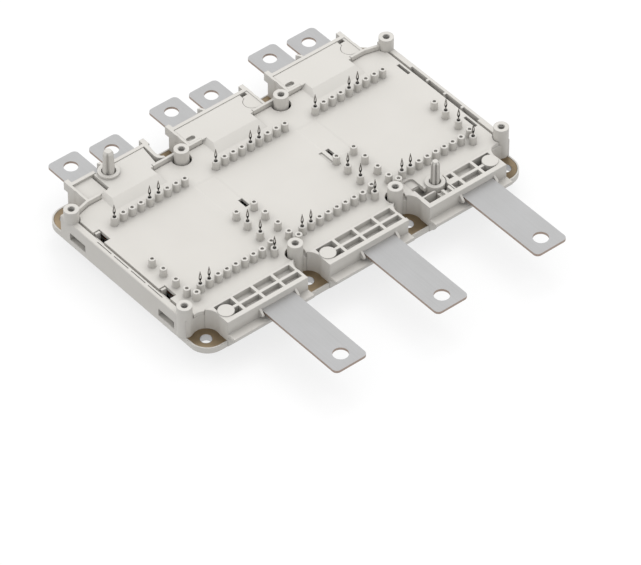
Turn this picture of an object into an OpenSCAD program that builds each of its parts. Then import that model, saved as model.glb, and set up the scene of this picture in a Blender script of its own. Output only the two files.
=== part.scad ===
// Three-phase transistor power module on a ribbon-cooled copper plate
// X runs along the module, Y from the phase terminals to the direct-current terminals, Z up
// The origin is at the centre of the plate's underside

/* [Layout] */
// Distance between the centres of neighbouring phases
phase_pitch = 47; // [46.5:0.5:50]
// Distance of the outer mounting holes from the ends of the plate
end_margin = 4.95; // [4.5:0.05:5.5]
// Distance of the mounting holes from the long edges of the plate
edge_margin = 5.3; // [5:0.1:5.6]

/* [Baseplate] */
// Width of the plate across the phases' length
plate_w = 92; // [91:0.5:94]
// Thickness of the plate
plate_t = 3; // [2.5:0.1:3.5]
// Corner radius of the plate
plate_r = 7; // [5:0.5:8]
// Diameter of the mounting holes
mount_d = 4.5; // [4:0.1:5]
// Diameter of the holes round the lower guide pins
pin_hole_d = 4.8; // [4.4:0.1:5.2]

/* [Cooling ribbons] */
// Height of a ribbon loop
loop_h = 1.8; // [1.4:0.1:2.4]
// Distance between loops of one ribbon
loop_pitch = 3; // [2.8:0.1:3.4]
// Width of a ribbon
ribbon_w = 2.45; // [2:0.05:2.6]
// Distance between the ribbons of a group
ribbon_pitch = 2.75; // [2.65:0.05:2.9]
// Distance between the groups of ribbons
group_pitch = 10.4; // [9.6:0.1:10.8]
// Thickness of the ribbon
ribbon_t = 0.3; // [0.2:0.05:0.4]
// Length of the ribbons
ribbon_l = 58; // [50:1:60]

/* [Frame] */
// Height of the frame's seat, on which the lid lies
seat_z = 9.8; // [9.7:0.1:11]
// Thickness of the side walls at the cavity
side_wall = 3.3; // [3:0.1:3.7]
// Thickness of the side walls beside the lid
rail_t = 2.5; // [2.3:0.1:2.7]
// Width of the lip round the edge of the plate
lip_w = 0.6; // [0.5:0.05:0.8]
// Height of the lip's lower edge above the plate's underside
lip_z = 0.6; // [0.4:0.1:1.2]
// Gap between the lip and the plate
lip_gap = 0.1; // [0.05:0.05:0.15]
// Radius cut out of the frame round each mounting hole
scallop_r = 5.3; // [5:0.1:5.6]
// Diameter of the board posts
post_d = 5.8; // [5.4:0.1:6.2]
// Height of the board posts' top above the plate's underside
post_z = 16.4; // [15.5:0.1:18]
// Diameter of the screw holes in the board posts
post_hole_d = 2.8; // [2.2:0.1:3.2]
// Depth of the screw holes in the board posts
post_hole_l = 9; // [6:0.5:10]
// Distance of the outer posts from the outer mounting holes along the module
post_out = 3.85; // [3.5:0.05:4.1]
// Distance of the front posts from the row of mounting holes
post_front = 7.2; // [6.9:0.1:7.6]
// Distance of the back posts from the row of mounting holes
post_back = 8.8; // [8.5:0.1:9.2]

/* [Terminal blocks] */
// Length of a terminal block along the module
block_l = 36.8; // [36:0.2:37.4]
// Height of the phase blocks' top
ac_block_z = 12.2; // [12:0.1:13]
// Reach of the phase blocks beyond the edge of the plate
ac_block_out = 0.9; // [0.8:0.05:1.2]
// Width of the ledge below the phase terminals
ledge_w = 3.6; // [3:0.1:5]
// Height of the ledge's top
ledge_z = 6.3; // [5.5:0.1:6.9]
// Thickness of the ledge
ledge_t = 1.3; // [1:0.1:2.4]
// Height of the rim round the direct-current blocks
rim_z = 13.2; // [12.8:0.1:13.6]
// Thickness of the rim
rim_t = 1.1; // [0.9:0.1:1.3]
// Thickness of the rim behind the covers
back_rim_t = 1.5; // [1.3:0.1:2]
// Width of the ribs between the pockets
rib_t = 1.2; // [1:0.1:1.5]
// Width of the wall in front of the pockets
front_rim_t = 2; // [1.6:0.1:2.3]
// Length of the fins at the ends of the direct-current blocks
fin_out = 2.2; // [1.6:0.2:3.2]
// Thickness of these fins
fin_t = 2; // [1.2:0.1:2.4]
// Height of these fins
fin_h = 3.8; // [2.8:0.2:4.4]
// Diameter of the round pads over the screws of the phase blocks
ac_boss_d = 6.2; // [5.6:0.1:6.6]
// Radius of the round pads beside the covers
pad_r = 3.3; // [2.6:0.1:3.4]

/* [Lid] */
// Thickness of the lid
lid_t = 1.5; // [1.2:0.1:2]
// Height of the covers above the lid
cover_h = 1.7; // [1.4:0.1:2.4]
// Outer diameter of the pin sleeves
sleeve_d = 2.8; // [2.4:0.1:3.2]
// Height of the pin sleeves above the lid
sleeve_h = 3.6; // [3:0.1:4.5]
// Diameter of the holes in the pin sleeves
sleeve_hole_d = 1.3; // [1.15:0.05:1.5]
// Gap round the posts and the frame's other raised parts
lid_gap = 0.3; // [0.2:0.05:0.4]

/* [Guide pins] */
// Height of the tip of the thick guide pin
dc_guide_z = 23.6; // [20:0.2:26]
// Height of the tip of the other guide pin
ac_guide_z = 22; // [20:0.2:24]
// Height of the ring round the other guide pin above the lid
ring_h = 0.9; // [0.4:0.1:1.6]
// Length of the lower guide pins below the plate
lower_pin_l = 6.1; // [5:0.1:8]
// Diameter of the lower guide pins
lower_pin_d = 3.5; // [3:0.1:3.8]

/* [Terminals] */
// Width of the phase terminals
ac_w = 14.8; // [14:0.1:16.8]
// Thickness of the phase terminals
ac_t = 1.1; // [0.9:0.05:1.3]
// Height of the phase terminals' top
ac_z = 9.4; // [9.2:0.05:9.5]
// Reach of the phase terminals from the middle of the plate
ac_reach = 88.4; // [80.4:1:92.4]
// Distance of a phase terminal's hole from its end
ac_hole_in = 6.4; // [5.4:0.1:8]
// Diameter of the phase terminals' holes
ac_hole_d = 6; // [5:0.1:6.6]
// Thickness of the direct-current terminals
dc_t = 1; // [0.8:0.05:1.2]
// Height of the positive terminals' top
plus_z = 9.25; // [9.1:0.05:9.3]
// Thickness of the insulator between the two terminals
insulator_t = 1.4; // [1.2:0.05:1.6]
// Reach of the direct-current terminals from the middle of the plate
dc_reach = 62.5; // [58:0.5:66]
// Distance of a direct-current terminal's hole from its end
dc_hole_in = 6.1; // [5.2:0.1:8]
// Diameter of the direct-current terminals' holes
dc_hole_d = 5.5; // [5:0.1:6]

/* [Substrates] */
// Thickness of the copper below the ceramic
backing_t = 0.3; // [0.2:0.05:0.4]
// Thickness of the ceramic
ceramic_t = 0.4; // [0.3:0.02:0.6]
// Thickness of the circuit copper
circuit_t = 0.3; // [0.2:0.05:0.4]
// Width of the ceramic along the module
ceramic_w = 40.8; // [40.6:0.1:41.2]
// Thickness of the chips
chip_t = 0.3; // [0.2:0.05:0.4]
// Width of the chips
chip_w = 7.4; // [6.5:0.1:7.6]
// Diameter of the bond wires
wire_d = 0.4; // [0.3:0.05:0.5]

/* [Signal pins] */
// Diameter of the pins below the lid
pin_d = 0.9; // [0.8:0.05:1]
// Thickness of the sheet that the pins are stamped from
pin_t = 0.64; // [0.5:0.02:0.7]
// Height of the pins' tips
pin_z = 20.8; // [20:0.1:22]
// Diameter of the sockets that hold the pins
socket_d = 2.1; // [1.8:0.1:2.2]
// Height of the sockets
socket_h = 3; // [2.5:0.1:4]

/* [Frame screws] */
// Diameter of the screws' shanks
screw_d = 3; // [2.6:0.1:3]
// Diameter of the screws' heads
screw_head_d = 7; // [6:0.1:7.4]
// Diameter of the counterbores for the heads
counterbore_d = 8.2; // [7.6:0.1:8.6]
// Height of the screws' heads
screw_head_h = 1.4; // [1.2:0.1:1.5]
// Depth of the counterbores
counterbore_h = 1.6; // [1.5:0.1:1.8]
// Length of the screws' shanks
screw_l = 5.4; // [4:0.2:5.6]

/* [Hidden] */
$fn = 48;

PLASTIC = [0.86, 0.85, 0.82];
TINNED = [0.72, 0.72, 0.72];
COPPER = [0.80, 0.50, 0.33];
NICKEL = [0.70, 0.71, 0.72];
ALUMINIUM = [0.88, 0.89, 0.90];
CERAMIC = [0.93, 0.93, 0.90];
SILICON = [0.35, 0.36, 0.42];
GOLD = [0.82, 0.70, 0.40];

// Overlap that keeps a cut from ending on a face
eps = 0.05;

// Rows of mounting holes
plate_l = 3 * phase_pitch + 2 * end_margin;
mount_y = plate_w / 2 - edge_margin;
mount_xs = [for (i = [-1.5, -0.5, 0.5, 1.5]) i * phase_pitch];

// Walls of the frame
wall_x = plate_l / 2 + lip_gap;
wall_in = 4.5;
front_wall_in = 7.7;
back_wall_in = 8.2;
wall_y = mount_y - wall_in;
cavity_x = wall_x - side_wall;
cavity_front = -(mount_y - front_wall_in);
cavity_back = mount_y - back_wall_in;
side_out = wall_x + lip_w;
rail_x = side_out - rail_t;
lid_x = cavity_x + 0.45;
lid_z = seat_z + lid_t;
post_gap = 0.9;
cover_gap = lid_gap / 2;

// Posts for the circuit board
post_xs = [
    -1.5 * phase_pitch - post_out, -0.5 * phase_pitch,
    0.5 * phase_pitch, 1.5 * phase_pitch + post_out
];
post_front_y = -(mount_y - post_front);
post_back_y = mount_y - post_back;

// Phase blocks
ac_back_y = -(wall_y + 0.1);
ac_front_y = -(plate_w / 2 + ac_block_out);
ledge_y = ac_front_y - ledge_w;
ac_rib_y = (ac_back_y + ac_front_y) / 2;
cell_l = block_l / 4;
pocket_z = ac_z + 0.5;

// Direct-current blocks
dc_back_in = 0.1;
rib_in = 1.3;
slab_above = 0.35;
dc_back_y = plate_w / 2 - dc_back_in;
rib_y = cavity_back + rib_in;
slab_z = plus_z + slab_above;

// Covers of the lid over the direct-current blocks
cover_z = lid_z + cover_h;
cover_x = [-12.2, 11.9];
hip_in = [2.1, 1.3];
cover_reach = 3.8;
ramp_l = 4.6;
cover_front_y = rib_y - cover_reach;
ramp_y = cover_front_y - ramp_l;
cover_back_y = dc_back_y - back_rim_t - cover_gap;
cover_half = block_l / 2 - rim_t - cover_gap;
low_cover_x = -7.6;
low_slot_w = 1;
pad_at = [14.9, mount_y - 2.3];
pad_y = rib_y + rim_t;

// Guide pins, each on its own phase, with the lid's rings round them
dc_guide = [-phase_pitch - 2.6, mount_y + 1];
ac_guide = [phase_pitch - 7.5, -(mount_y - 3.7)];
dc_ring_r = 4.2;
dc_ring_z = cover_z + 1;
dc_ring_bore_r = 2.75;
ac_ring_r = 3.85;
ac_ring_bore_r = 2.25;
notch_back_y = ac_back_y + 2.4;
neck_x = ac_guide[0] - 5.1;
notch_rim_t = 1.7;

// Latch notches at the lid's ends
latch_ys = [-23.2, 14.9];
latch_l = 6.5;
latch_w = 2.8;

// Slots near the middle of the lid, each with its limits along x and y and its depth
middle_slots = [
    [-21.6, -19.8, -3, 1.5, lid_t + eps],
    [16.8, 18.3, -4.6, 2.1, 0.5],
    [20, 21.6, -2.8, 2.2, lid_t + eps]
];
lower_pins = [
    [phase_pitch - 11.5, -mount_y],
    [-phase_pitch + 11.5, mount_y]
];

// Frame screws on the two rows of mounting holes
screw_x = 15;
screws = [
    [-phase_pitch - screw_x, -mount_y],
    [-screw_x, -mount_y],
    [phase_pitch + screw_x, -mount_y],
    [-phase_pitch - screw_x, mount_y],
    [screw_x, mount_y],
    [phase_pitch + screw_x, mount_y]
];

// Levels of the substrate
ceramic_z = plate_t + backing_t;
circuit_z = ceramic_z + ceramic_t;
pad_z = circuit_z + circuit_t;
chip_z = pad_z + chip_t;
ceramic_front = cavity_front + 1.5;
ceramic_back = cavity_back - 3;
copper_in = 0.8;

// Terminals, in the coordinates of their phase
ac_x = 4.3;
plus_tab = [-15.45, -2.05];
minus_tab = [3.3, 16.9];
minus_z = plus_z - dc_t - insulator_t;
bus_x = 12.5;
bus_overlap = 9;
bus_in = 1.2;
bus_front_y = rib_y + bus_in;
bus_back_y = dc_back_y - rim_t;
dc_foot_y = ceramic_back - copper_in;
dc_foot_l = 5.2;
ac_foot_y = ceramic_front + copper_in;
ac_foot_l = 5.2;

// Grid of pin sleeves, in the coordinates of their phase
grid_x = -0.7;
grid_pitch = 4.06;
back_row_in = 12.5;
front_row_in = 6;
column_ins = [27.1, 20.65, 13.45, 7.2];
corner_in = 3.5;
column_edge = 1;
corner_edge = 2.5;
back_row_y = cavity_back - back_row_in;
front_row_y = cavity_front + front_row_in;
column_x = ceramic_w / 2 - column_edge;
column_ys = [for (d = column_ins) cavity_front + d];
corner_x = ceramic_w / 2 - corner_edge;
corner_y = cavity_front + corner_in;
back_row = [for (j = [0:8]) [grid_x + grid_pitch * (j - 4), back_row_y]];
front_row = [for (j = [0:7]) [grid_x + grid_pitch * (j - 3.5), front_row_y]];
columns = [for (s = [-1, 1], y = column_ys) [grid_x + s * column_x, y]];
corners = [for (s = [-1, 1]) [grid_x + s * corner_x, corner_y]];
sleeves = concat(back_row, front_row, columns, corners);
pins = [
    back_row[0], back_row[4], back_row[5], front_row[0], front_row[1],
    columns[5], columns[6], corners[1]
];

// Temperature sensor, in the coordinates of its phase
sensor_l = 3;
sensor_w = 1.6;
sensor_h = 0.9;
sensor_x = -6.5;
sensor_y = ceramic_front + 4.5;

// Rows of chips, in the coordinates of their phase
high_xs = [-15.2, -7.1, 1];
low_xs = [-13, -4.9, 3.2];
high_igbt_y = 12.9;
high_diode_y = 5.4;
low_igbt_y = -9.1;
low_diode_y = -17.3;
igbt_l = 8.4;
diode_l = 5.4;

module at_phase(p) {
    translate([(p - 1) * phase_pitch, 0, 0]) children();
}

module block(x, y, z) {
    translate([x[0], y[0], z[0]]) cube([x[1] - x[0], y[1] - y[0], z[1] - z[0]]);
}

module rounded_rect(l, w, r) {
    square([l - 2 * r, w], center = true);
    square([l, w - 2 * r], center = true);
    for (sx = [-1, 1], sy = [-1, 1])
        translate([sx * (l / 2 - r), sy * (w / 2 - r)]) circle(r);
}

// A profile drawn in Y and Z, carried from x0 to x1
module along_x(x0, x1) {
    translate([x0, 0, 0]) rotate([90, 0, 90]) linear_extrude(x1 - x0) children();
}

// Plate with its mounting holes, screw holes and guide pin holes
module baseplate() {
    color(NICKEL)
    difference() {
        linear_extrude(plate_t) rounded_rect(plate_l, plate_w, plate_r);
        for (x = mount_xs, s = [-1, 1])
            translate([x, s * mount_y, -eps]) cylinder(d = mount_d, h = plate_t + 2 * eps);
        for (at = screws) translate([at[0], at[1], -eps]) {
            cylinder(d = screw_d + 0.4, h = plate_t + 2 * eps);
            cylinder(d = counterbore_d, h = counterbore_h + eps);
        }
        for (at = lower_pins)
            translate([at[0], at[1], -eps]) cylinder(d = pin_hole_d, h = plate_t + 2 * eps);
    }
}

// Half widths of a loop at its crest and at its foot
crest_a = 0.28 * loop_pitch;
foot_a = 0.36 * loop_pitch;
function ribbon_outline(n) = concat(
    [[-foot_a - 0.4, 0]],
    [for (k = [0:n - 1]) each [
        [k * loop_pitch - foot_a + ribbon_t, 0],
        [k * loop_pitch - crest_a + ribbon_t, -(loop_h - ribbon_t)],
        [k * loop_pitch + crest_a - ribbon_t, -(loop_h - ribbon_t)],
        [k * loop_pitch + foot_a - ribbon_t, 0]
    ]],
    [[(n - 1) * loop_pitch + foot_a + 0.4, 0], [(n - 1) * loop_pitch + foot_a + 0.4, -ribbon_t]],
    [for (k = [n - 1:-1:0]) each [
        [k * loop_pitch + foot_a, -ribbon_t],
        [k * loop_pitch + crest_a, -loop_h],
        [k * loop_pitch - crest_a, -loop_h],
        [k * loop_pitch - foot_a, -ribbon_t]
    ]],
    [[-foot_a - 0.4, -ribbon_t]]
);

// Looped ribbons below one phase, in groups of three staggered ones
module cooling_ribbons(p) {
    loops = floor(ribbon_l / loop_pitch);
    color(ALUMINIUM)
    at_phase(p)
    for (g = [-1.5:1.5], r = [-1:1]) {
        shift = (r == 0 ? 0.5 : 0) * loop_pitch;
        x = g * group_pitch + r * ribbon_pitch;
        translate([0, -(loops - 0.5) * loop_pitch / 2 + shift, 0])
            along_x(x - ribbon_w / 2, x + ribbon_w / 2) polygon(ribbon_outline(loops));
    }
}

// Lip that closes round the edge of the plate
module plate_lip() {
    translate([0, 0, lip_z]) linear_extrude(plate_t + eps - lip_z)
    difference() {
        rounded_rect(plate_l + 2 * (lip_gap + lip_w), plate_w + 2 * (lip_gap + lip_w), plate_r + lip_gap + lip_w);
        rounded_rect(plate_l + 2 * lip_gap, plate_w + 2 * lip_gap, plate_r + lip_gap);
    }
}

// Walls round the cavity, with higher walls beside the lid
module frame_body() {
    chamfer = 0.3;
    block([-wall_x, wall_x], [-wall_y, wall_y], [plate_t, seat_z]);
    for (s = [0, 1]) mirror([s, 0, 0])
        translate([0, wall_y, 0]) rotate([90, 0, 0]) linear_extrude(2 * wall_y)
            polygon([
                [rail_x, plate_t], [side_out, plate_t], [side_out, lid_z - chamfer],
                [side_out - chamfer, lid_z], [rail_x, lid_z]
            ]);
}

// Two pockets of a phase block, one in each row
module pocket_pair(x0, x1, floor_z) {
    block([x0, x1], [ac_rib_y + rib_t / 2, ac_back_y - rim_t], [floor_z, ac_block_z + eps]);
    block([x0, x1], [ac_front_y + front_rim_t, ac_rib_y - rib_t / 2], [floor_z, ac_block_z + eps]);
}

// Block in front of each phase, with two rows of pockets and a pad over its screw
module ac_block(p) {
    half = block_l / 2;
    boss_x = p == 2 ? screw_x : -screw_x;
    horn_x = half + 2.6;
    tab_rib_out = 2.1;
    difference() {
        union() {
            block([-half, half], [ac_front_y, ac_back_y], [plate_t, ac_block_z]);
            block([-horn_x, horn_x], [-mount_y, ac_back_y], [plate_t, ac_block_z]);
            block([-half, half], [ac_front_y, -plate_w / 2 - lip_gap], [lip_z, plate_t + eps]);
            block([-half, half], [ledge_y, ac_front_y + eps], [ledge_z - ledge_t, ledge_z]);
        }
        difference() {
            mirror([p == 2 ? 0 : 1, 0, 0]) pocket_pair(cell_l + rib_t / 2, half - rim_t, ledge_z);
            translate([boss_x, ac_rib_y, plate_t]) cylinder(d = ac_boss_d, h = ac_block_z);
            mirror([p == 2 ? 0 : 1, 0, 0])
                block([screw_x, half], [ac_front_y, ac_rib_y], [plate_t, ac_block_z]);
        }
        pocket_pair(rib_t / 2, cell_l - rib_t / 2, pocket_z);
        if (p < 2) {
            pocket_pair(cell_l + rib_t / 2, half - rim_t, pocket_z);
            pocket_pair(rib_t / 2 - cell_l, -rib_t / 2, pocket_z);
        }
    }
    translate([boss_x, ac_rib_y, ac_block_z - eps]) cylinder(d = ac_boss_d, h = 0.3 + eps);
    for (x = [ac_x - ac_w / 2 - 1.2, ac_x + ac_w / 2 + 0.3])
        along_x(x, x + 1) polygon([
            [ac_front_y + eps, ac_z - 2.6], [ac_front_y + eps, ac_z + 1], [ac_front_y, ac_z + 1],
            [ac_front_y - tab_rib_out, ac_z - 0.9], [ac_front_y - tab_rib_out, ac_z - 1.6]
        ]);
    if (p == 1)
        block([half - eps, half + 0.7], [ac_front_y + 0.3, ac_front_y + 2], [ac_block_z - 2.6, ac_block_z - 0.4]);
}

// Low corner of the third phase block, where the lid's guide ring stands on a round foot among pockets
module guide_notch() {
    half = block_l / 2;
    x = ac_guide[0] - phase_pitch;
    r = ac_ring_r + lid_gap;
    y = ac_guide[1] - r - 0.2;
    thin = 0.7;
    end = notch_rim_t - half;
    front = ac_front_y + front_rim_t;
    step_x = x - 2.9;
    top = ac_block_z + eps;
    translate([x, ac_guide[1], seat_z]) cylinder(r = r, h = top - seat_z);
    block([neck_x - phase_pitch - lid_gap, x + 1], [ac_guide[1] - lid_gap, ac_back_y + eps], [seat_z, top]);
    difference() {
        union() {
            block([end, x - 1], [y + thin, notch_back_y], [ledge_z, top]);
            block([end, step_x], [front, y], [ledge_z, top]);
            translate([x, ac_guide[1], ledge_z + 1]) intersection() {
                cylinder(r = r + 1.2, h = top);
                block([-2 * r, 2.8], [-2 * r, 0], [0, top]);
            }
            difference() {
                block([step_x - eps, x + 2.8], [front, y], [ac_block_z - 1.3, top]);
                for (rib_x = [x - 1.6, x + 1.4]) block([rib_x, rib_x + 1.1], [front - 1, y + 1], [ledge_z, top]);
            }
        }
        translate([x, ac_guide[1], 0]) cylinder(r = ac_ring_r, h = seat_z);
    }
    block([x + r + rib_t / 2, -rib_t / 2], [ac_rib_y + 2, ac_back_y - rim_t], [pocket_z, top]);
    block([x + 3.4, -rib_t / 2], [front, ac_rib_y - rib_t / 2], [pocket_z, top]);
}

// Low area beside a cover: a pad with one round corner, or the left third in the first phase
module pad_shape(p, gap) {
    half = block_l / 2;
    if (p == 0) rect([-half, low_cover_x - low_slot_w + gap], [pad_y - gap, dc_back_y]);
    else {
        translate(pad_at) circle(pad_r + gap);
        rect([pad_at[0] - 1 - gap, half], [pad_at[1], dc_back_y]);
        rect([pad_at[0], half], [pad_y - gap, dc_back_y]);
    }
}

// Wall beside the scallop at the right end of the first phase's block
module curved_wall() {
    half = block_l / 2;
    translate([0, 0, slab_z - eps]) linear_extrude(rim_z - slab_z + eps) polygon([
        [half - 2.5, dc_back_y - back_rim_t + eps], [half - 2.8, mount_y - 2.7], [half - 2.5, mount_y - 4.3],
        [half - 1.5, mount_y - 5.3], [half, pad_y - eps], [half, pad_y + 1], [half - 0.9, mount_y - 4.2],
        [half - 1.5, mount_y - 1.8], [half - 1.2, mount_y + 0.6], [half - 0.6, dc_back_y - back_rim_t + eps]
    ]);
}

// Block behind each phase, with a rim round the lid's cover and a lower pad beside it
module dc_block(p) {
    half = block_l / 2;
    pad_z = p == 0 ? rim_z - 1 : cover_z;
    block([-half, half], [cavity_back, dc_back_y], [plate_t, slab_z]);
    block([-half, rim_t - half], [rib_y, dc_back_y], [slab_z - eps, rim_z]);
    if (p == 0) curved_wall();
    else block([half - rim_t, half], [rib_y, dc_back_y], [slab_z - eps, rim_z]);
    for (x = [-half, half - fin_t])
        block([x, x + fin_t], [dc_back_y - eps, dc_back_y + fin_out], [rim_z - fin_h, rim_z]);
    block([-half, half], [dc_back_y - back_rim_t, dc_back_y], [slab_z - eps, rim_z]);
    block([-half, cover_x[0] - cover_gap], [rib_y, rib_y + rim_t], [seat_z - 1, rim_z]);
    block([cover_x[1] + cover_gap, half], [rib_y, rib_y + rim_t], [seat_z - 1, rim_z]);
    difference() {
        translate([0, 0, slab_z - eps]) linear_extrude(pad_z - slab_z + eps) intersection() {
            pad_shape(p, 0);
            rect([-half, half], [rib_y, dc_back_y]);
        }
        if (p > 0)
            block([pad_at[0] - 1, pad_at[0] + 1.4], [dc_back_y - back_rim_t - 1.7, dc_back_y - back_rim_t], [slab_z, rim_z]);
    }
    along_x(plus_tab[1] + 0.3, plus_tab[1] + 1.4) polygon([
        [dc_back_y - eps, minus_z - 1.5], [dc_back_y - eps, rim_z - 0.6], [dc_back_y + 1, rim_z - 0.6],
        [dc_back_y + 4, rim_z - 2], [dc_back_y + 4, rim_z - 4.3], [dc_back_y + 1.5, minus_z - 1.5]
    ]);
    block([minus_tab[0] + 0.4, minus_tab[0] + 6], [dc_back_y - eps, dc_back_y + 1.6], [minus_z, minus_z + 1.6]);
}

// Ribs that join the direct-current blocks and the back posts
module back_ribs() {
    half = block_l / 2;
    x0 = phase_pitch + half - eps;
    for (s = [0, 1]) mirror([s, 0, 0]) translate([0, 0, seat_z - 1]) linear_extrude(rim_z - seat_z + 1) {
        rect([half - eps, phase_pitch - half + eps], [rib_y, rib_y + rim_t]);
        polygon([
            [x0, rib_y], [post_xs[3], post_back_y - rim_t / 2],
            [post_xs[3], post_back_y + rim_t / 2], [x0, rib_y + rim_t]
        ]);
    }
}

// Posts that carry the circuit board; the outer back ones stand on the side walls
module board_posts() {
    for (x = post_xs, y = [post_front_y, post_back_y])
        if (y < 0 || abs(x) < phase_pitch)
            translate([x, y, plate_t]) cylinder(d = post_d, h = post_z - plate_t);
    for (x = [post_xs[0], post_xs[3]]) {
        translate([x, post_back_y, lid_z - eps]) cylinder(d = post_d, h = post_z - lid_z + eps);
        intersection() {
            translate([x, post_back_y, plate_t]) cylinder(d = post_d, h = lid_z - plate_t);
            block([-side_out, side_out], [post_back_y - post_d, post_back_y + post_d], [plate_t, lid_z]);
        }
    }
}

// Tapered pin made of ribs that cross on its axis
module guide_pin(at, z0, z1, r0, r1, ribs, rib_w) {
    tip = 1.1;
    h = z1 - z0;
    groove = 0.35 * r0;
    translate([at[0], at[1], z0]) {
        cylinder(r1 = r0 - groove, r2 = r1 - groove, h = h - tip);
        intersection() {
            union() {
                cylinder(r1 = r0, r2 = r1, h = h - tip);
                translate([0, 0, h - tip - eps]) cylinder(r1 = r1, r2 = r1 - 0.6, h = tip + eps);
            }
            for (k = [0:ribs - 1]) rotate(90 + 180 * k / ribs)
                translate([-2 * r0, -rib_w / 2, 0]) cube([4 * r0, rib_w, h]);
        }
    }
}

// Windows in the two side walls, pockets behind one of them and slits in the other
module side_wall_cuts() {
    window_z = [plate_t + 0.1, 6.4];
    window_in = 2.7;
    window_l = 9;
    pocket_l = 8.8;
    pocket_pitch = 9.8;
    skin = 1.45;
    for (s = [0, 1]) mirror([s, 0, 0]) for (y = [post_front_y + 3.9, post_back_y - 1.1 - window_l])
        block([side_out - window_in, side_out + eps], [y, y + window_l], window_z);
    for (i = [0:3]) {
        y = 8.3 - i * pocket_pitch;
        block([lid_x + 0.2, side_out - skin], [y, y + pocket_l], [lid_z - 3.5, lid_z + eps]);
        block([skin - side_out, skin + 0.3 - side_out], [y, y + pocket_l - 0.6], [lid_z - 1.5, lid_z + eps]);
    }
}

// Latches on one side wall, which stand in the lid's notches
module latches() {
    hook_l = 1;
    for (y = latch_ys)
        block([-cavity_x - eps, latch_w - lid_gap - lid_x],
            [y + latch_l - lid_gap - hook_l, y + latch_l - lid_gap], [seat_z - 3, lid_z - 0.3]);
}

// Moulded frame round the three phases
module frame() {
    color(PLASTIC)
    difference() {
        union() {
            difference() {
                union() {
                    frame_body();
                    back_ribs();
                    for (p = [0:2]) at_phase(p) {
                        ac_block(p);
                        dc_block(p);
                    }
                }
                for (x = mount_xs, s = [-1, 1])
                    translate([x, s * mount_y, lip_z - eps]) cylinder(r = scallop_r, h = rim_z);
                block([-cavity_x, cavity_x], [cavity_front, cavity_back], [plate_t - eps, seat_z + eps]);
                at_phase(2) guide_notch();
                block([dc_guide[0] - dc_ring_r + 0.3, dc_guide[0] + dc_ring_r - 0.3],
                    [dc_back_y - back_rim_t - eps, dc_back_y + eps], [slab_z, rim_z + eps]);
            }
            plate_lip();
            latches();
            board_posts();
            guide_pin(dc_guide, slab_z - eps, dc_guide_z, 2.6, 1.95, 2, 2);
            guide_pin(ac_guide, seat_z - 1, ac_guide_z, 1.85, 1.6, 3, 0.95);
            for (at = lower_pins)
                translate([at[0], at[1], -lower_pin_l]) {
                    cylinder(d1 = lower_pin_d - 1, d2 = lower_pin_d, h = 0.8);
                    translate([0, 0, 0.8 - eps]) cylinder(d = lower_pin_d, h = lower_pin_l - 1.2 + eps);
                    translate([0, 0, lower_pin_l - 0.4 - eps]) cylinder(d = lower_pin_d - 0.6, h = plate_t + 0.4 + 2 * eps);
                }
        }
        for (x = post_xs, y = [post_front_y, post_back_y])
            translate([x, y, post_z - post_hole_l]) cylinder(d = post_hole_d, h = post_hole_l + eps);
        for (at = screws)
            translate([at[0], at[1], plate_t - eps]) cylinder(d = screw_d, h = counterbore_h + screw_l - plate_t + eps);
        side_wall_cuts();
        for (p = [0:2]) at_phase(p) {
            phase_terminal_bar();
            plus_terminal_bar();
            minus_terminal_bar();
            insulator_bar();
        }
    }
}

// Cover over the terminals of one phase, with a hipped ramp in front and room for the frame's low pad
module lid_cover(p) {
    half = block_l / 2;
    x0 = p == 0 ? low_cover_x : -cover_half;
    front = rib_y + rim_t + cover_gap;
    wall = 1.5;
    slot_x = 0.9;
    slot_d = 2;
    slot_h = 1.2;
    difference() {
        union() {
            block([x0, cover_half], [front, cover_back_y], [seat_z, cover_z]);
            block(cover_x, [ramp_y, front + eps], [seat_z, lid_z]);
            block([max(x0, cover_x[0]), cover_x[1]], [rib_y, front + eps], [seat_z, cover_z]);
            intersection() {
                along_x(cover_x[0], cover_x[1]) polygon([
                    [ramp_y, lid_z - eps], [cover_front_y, cover_z], [front + eps, cover_z], [front + eps, lid_z - eps]
                ]);
                translate([0, front + 2 * eps, 0]) rotate([90, 0, 0]) linear_extrude(front - ramp_y + 4 * eps) polygon([
                    [cover_x[0], lid_z - 2 * eps], [cover_x[1], lid_z - 2 * eps],
                    [cover_x[1] - hip_in[1], cover_z + eps], [cover_x[0] + hip_in[0], cover_z + eps]
                ]);
            }
        }
        block([max(x0, cover_x[0]) + wall, cover_x[1] - wall], [cover_front_y + 1, cover_back_y - wall],
            [seat_z - eps, cover_z - wall]);
        if (p == 0) translate([0, 0, seat_z - eps]) linear_extrude(cover_z) polygon([
            [half - 2.8, dc_back_y], [half - 4.7, rib_y], [half + 1, rib_y], [half + 1, dc_back_y]
        ]);
        else translate([2.1 - cover_half, dc_back_y - 8.8, cover_z - slot_h]) {
            for (s = [-1, 1]) translate([s * slot_x, 0, 0]) cylinder(d = slot_d, h = slot_h + eps);
            translate([-slot_x, -slot_d / 2, 0]) cube([2 * slot_x, slot_d, slot_h + eps]);
        }
        translate([0, 0, seat_z - eps]) linear_extrude(cover_z) pad_shape(p, cover_gap);
    }
}

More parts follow.
